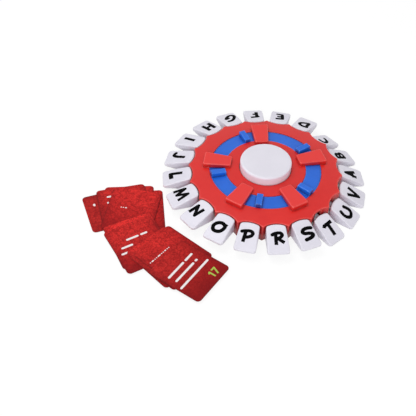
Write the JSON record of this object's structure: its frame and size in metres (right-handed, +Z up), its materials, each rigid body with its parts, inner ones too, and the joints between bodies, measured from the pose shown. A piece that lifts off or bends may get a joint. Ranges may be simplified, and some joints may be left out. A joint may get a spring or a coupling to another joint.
{
  "type": "word card game",
  "caption": "Letter wheel of a word card game: lever keys round a domed housing, a reset ring in windows, a timer button and a fan of loose cards.",
  "frame": {"origin": "centre of the wheel on its flat underside", "axes": "+Z up along the wheel's axis, the cards lie towards -X and -Y"},
  "size_m": [0.3296, 0.2966, 0.0373],
  "materials": {
    "housing_red": "satin moulded",
    "ring_blue": "satin moulded",
    "key_white": "satin moulded",
    "button_white": "satin moulded",
    "card_red": "coated card",
    "inner_white": "moulded",
    "screw_steel": "zinc plated",
    "spring_steel": "bright",
    "contact_steel": "nickel plated",
    "cell_metal": "printed sleeve",
    "board_green": "solder mask",
    "switch_black": "moulded"
  },
  "bodies": {
    "wheel": {"base": "housing_red", "upper_housing": "housing_red", "key_retainer": "inner_white", "housing_screws": "screw_steel", "retainer_screws": "screw_steel", "timer_board": "board_green", "push_switch": "switch_black", "buzzer": "switch_black", "batteries": "cell_metal", "battery_contacts": "contact_steel", "plate_springs": "spring_steel", "button_spring": "spring_steel"},
    "reset_ring": {"reset_ring": "ring_blue"},
    "reset_plate": {"reset_plate": "inner_white"},
    "timer_button": {"timer_button": "button_white"},
    "battery_door": {"battery_door": "housing_red", "door_screws": "screw_steel"},
    "key_a": {"key_a": "key_white"},
    "key_b": {"key_b": "key_white"},
    "key_c": {"key_c": "key_white"},
    "key_d": {"key_d": "key_white"},
    "key_e": {"key_e": "key_white"},
    "key_f": {"key_f": "key_white"},
    "key_g": {"key_g": "key_white"},
    "key_h": {"key_h": "key_white"},
    "key_i": {"key_i": "key_white"},
    "key_j": {"key_j": "key_white"},
    "key_l": {"key_l": "key_white"},
    "key_m": {"key_m": "key_white"},
    "key_n": {"key_n": "key_white"},
    "key_o": {"key_o": "key_white"},
    "key_p": {"key_p": "key_white"},
    "key_r": {"key_r": "key_white"},
    "key_s": {"key_s": "key_white"},
    "key_t": {"key_t": "key_white"},
    "key_u": {"key_u": "key_white"},
    "key_v": {"key_v": "key_white"},
    "card_1": {"card_1": "card_red"},
    "card_2": {"card_2": "card_red"},
    "card_3": {"card_3": "card_red"},
    "card_4": {"card_4": "card_red"},
    "card_5": {"card_5": "card_red"},
    "card_6": {"card_6": "card_red"},
    "card_7": {"card_7": "card_red"},
    "card_8": {"card_8": "card_red"},
    "card_9": {"card_9": "card_red"},
    "card_10": {"card_10": "card_red"},
    "card_11": {"card_11": "card_red"}
  },
  "joints": [
    {"name": "ring_turn", "type": "hinge", "parent": "wheel", "child": "reset_ring", "pos_m": [0, 0, 0.0218], "axis": [0, 0, 1], "range_deg": [0, 24]},
    {"name": "plate_drop", "type": "slide", "parent": "wheel", "child": "reset_plate", "axis": [0, 0, 1], "range_m": [-0.002, 0], "deforming": ["plate_springs"]},
    {"name": "button_press", "type": "slide", "parent": "wheel", "child": "timer_button", "axis": [0, 0, -1], "range_m": [0, 0.003], "stiffness_N_per_m": 400, "springref_m": -0.002, "deforming": ["button_spring"]},
    {"name": "door_release", "type": "slide", "parent": "wheel", "child": "battery_door", "axis": [0, 0, -1], "range_m": [0, 0.015]},
    {"name": "key_a_tilt", "type": "hinge", "parent": "wheel", "child": "key_a", "pos_m": [0.05771, 0.00576, 0.009], "axis": [0.0993, -0.9951, 0], "range_deg": [0, 10.5]},
    {"name": "key_b_tilt", "type": "hinge", "parent": "wheel", "child": "key_b", "pos_m": [0.05311, 0.02331, 0.009], "axis": [0.4019, -0.9157, 0], "range_deg": [0, 10.5]},
    {"name": "key_c_tilt", "type": "hinge", "parent": "wheel", "child": "key_c", "pos_m": [0.04331, 0.03858, 0.009], "axis": [0.6652, -0.7466, 0], "range_deg": [0, 10.5]},
    {"name": "key_d_tilt", "type": "hinge", "parent": "wheel", "child": "key_d", "pos_m": [0.02926, 0.05008, 0.009], "axis": [0.8634, -0.5045, 0], "range_deg": [-10.5, 0]},
    {"name": "key_e_tilt", "type": "hinge", "parent": "wheel", "child": "key_e", "pos_m": [0.01236, 0.05667, 0.009], "axis": [0.977, -0.213, 0], "range_deg": [-10.5, 0]},
    {"name": "key_f_tilt", "type": "hinge", "parent": "wheel", "child": "key_f", "pos_m": [-0.00576, 0.05771, 0.009], "axis": [0.9951, 0.0993, 0], "range_deg": [-10.5, 0]},
    {"name": "key_g_tilt", "type": "hinge", "parent": "wheel", "child": "key_g", "pos_m": [-0.02331, 0.05311, 0.009], "axis": [0.9157, 0.4019, 0], "range_deg": [-10.5, 0]},
    {"name": "key_h_tilt", "type": "hinge", "parent": "wheel", "child": "key_h", "pos_m": [-0.03858, 0.04331, 0.009], "axis": [0.7466, 0.6652, 0], "range_deg": [-10.5, 0]},
    {"name": "key_i_tilt", "type": "hinge", "parent": "wheel", "child": "key_i", "pos_m": [-0.05008, 0.02926, 0.009], "axis": [0.5045, 0.8634, 0], "range_deg": [-10.5, 0]},
    {"name": "key_j_tilt", "type": "hinge", "parent": "wheel", "child": "key_j", "pos_m": [-0.05667, 0.01236, 0.009], "axis": [0.213, 0.977, 0], "range_deg": [-10.5, 0]},
    {"name": "key_l_tilt", "type": "hinge", "parent": "wheel", "child": "key_l", "pos_m": [-0.05771, -0.00576, 0.009], "axis": [-0.0993, 0.9951, 0], "range_deg": [-10.5, 0]},
    {"name": "key_m_tilt", "type": "hinge", "parent": "wheel", "child": "key_m", "pos_m": [-0.05311, -0.02331, 0.009], "axis": [-0.4019, 0.9157, 0], "range_deg": [-10.5, 0]},
    {"name": "key_n_tilt", "type": "hinge", "parent": "wheel", "child": "key_n", "pos_m": [-0.04331, -0.03858, 0.009], "axis": [-0.6652, 0.7466, 0], "range_deg": [-10.5, 0]},
    {"name": "key_o_tilt", "type": "hinge", "parent": "wheel", "child": "key_o", "pos_m": [-0.02926, -0.05008, 0.009], "axis": [-0.8634, 0.5045, 0], "range_deg": [-10.5, 0]},
    {"name": "key_p_tilt", "type": "hinge", "parent": "wheel", "child": "key_p", "pos_m": [-0.01236, -0.05667, 0.009], "axis": [-0.977, 0.213, 0], "range_deg": [-10.5, 0]},
    {"name": "key_r_tilt", "type": "hinge", "parent": "wheel", "child": "key_r", "pos_m": [0.00576, -0.05771, 0.009], "axis": [-0.9951, -0.0993, 0], "range_deg": [-10.5, 0]},
    {"name": "key_s_tilt", "type": "hinge", "parent": "wheel", "child": "key_s", "pos_m": [0.02331, -0.05311, 0.009], "axis": [-0.9157, -0.4019, 0], "range_deg": [-10.5, 0]},
    {"name": "key_t_tilt", "type": "hinge", "parent": "wheel", "child": "key_t", "pos_m": [0.03858, -0.04331, 0.009], "axis": [-0.7466, -0.6652, 0], "range_deg": [0, 10.5]},
    {"name": "key_u_tilt", "type": "hinge", "parent": "wheel", "child": "key_u", "pos_m": [0.05008, -0.02926, 0.009], "axis": [-0.5045, -0.8634, 0], "range_deg": [0, 10.5]},
    {"name": "key_v_tilt", "type": "hinge", "parent": "wheel", "child": "key_v", "pos_m": [0.05667, -0.01236, 0.009], "axis": [-0.213, -0.977, 0], "range_deg": [0, 10.5]},
    {"name": "card_1_lift", "type": "slide", "parent": "wheel", "child": "card_1", "axis": [0, 0, 1], "range_m": [0, 0.02]},
    {"name": "card_2_lift", "type": "slide", "parent": "card_1", "child": "card_2", "axis": [0, 0, 1], "range_m": [0, 0.02]},
    {"name": "card_3_lift", "type": "slide", "parent": "card_2", "child": "card_3", "axis": [0, 0, 1], "range_m": [0, 0.02]},
    {"name": "card_4_lift", "type": "slide", "parent": "card_3", "child": "card_4", "axis": [0, 0, 1], "range_m": [0, 0.02]},
    {"name": "card_5_lift", "type": "slide", "parent": "card_4", "child": "card_5", "axis": [0, 0, 1], "range_m": [0, 0.02]},
    {"name": "card_6_lift", "type": "slide", "parent": "card_5", "child": "card_6", "axis": [0, 0, 1], "range_m": [0, 0.02]},
    {"name": "card_7_lift", "type": "slide", "parent": "card_6", "child": "card_7", "axis": [0, 0, 1], "range_m": [0, 0.02]},
    {"name": "card_8_lift", "type": "slide", "parent": "card_7", "child": "card_8", "axis": [0, 0, 1], "range_m": [0, 0.02]},
    {"name": "card_9_lift", "type": "slide", "parent": "card_8", "child": "card_9", "axis": [0, 0, 1], "range_m": [0, 0.02]},
    {"name": "card_10_lift", "type": "slide", "parent": "card_9", "child": "card_10", "axis": [0, 0, 1], "range_m": [0, 0.02]},
    {"name": "card_11_lift", "type": "slide", "parent": "card_10", "child": "card_11", "axis": [0, 0, 1], "range_m": [0, 0.02]}
  ],
  "couplings": [
    {"joint": "plate_drop", "follows": "ring_turn", "m_per_rad": -0.00477},
    {"joint": "key_a_tilt", "follows": "ring_turn", "ratio": 0.43745},
    {"joint": "key_b_tilt", "follows": "ring_turn", "ratio": 0.43745},
    {"joint": "key_c_tilt", "follows": "ring_turn", "ratio": 0.43745},
    {"joint": "key_t_tilt", "follows": "ring_turn", "ratio": 0.43745},
    {"joint": "key_u_tilt", "follows": "ring_turn", "ratio": 0.43745},
    {"joint": "key_v_tilt", "follows": "ring_turn", "ratio": 0.43745}
  ]
}
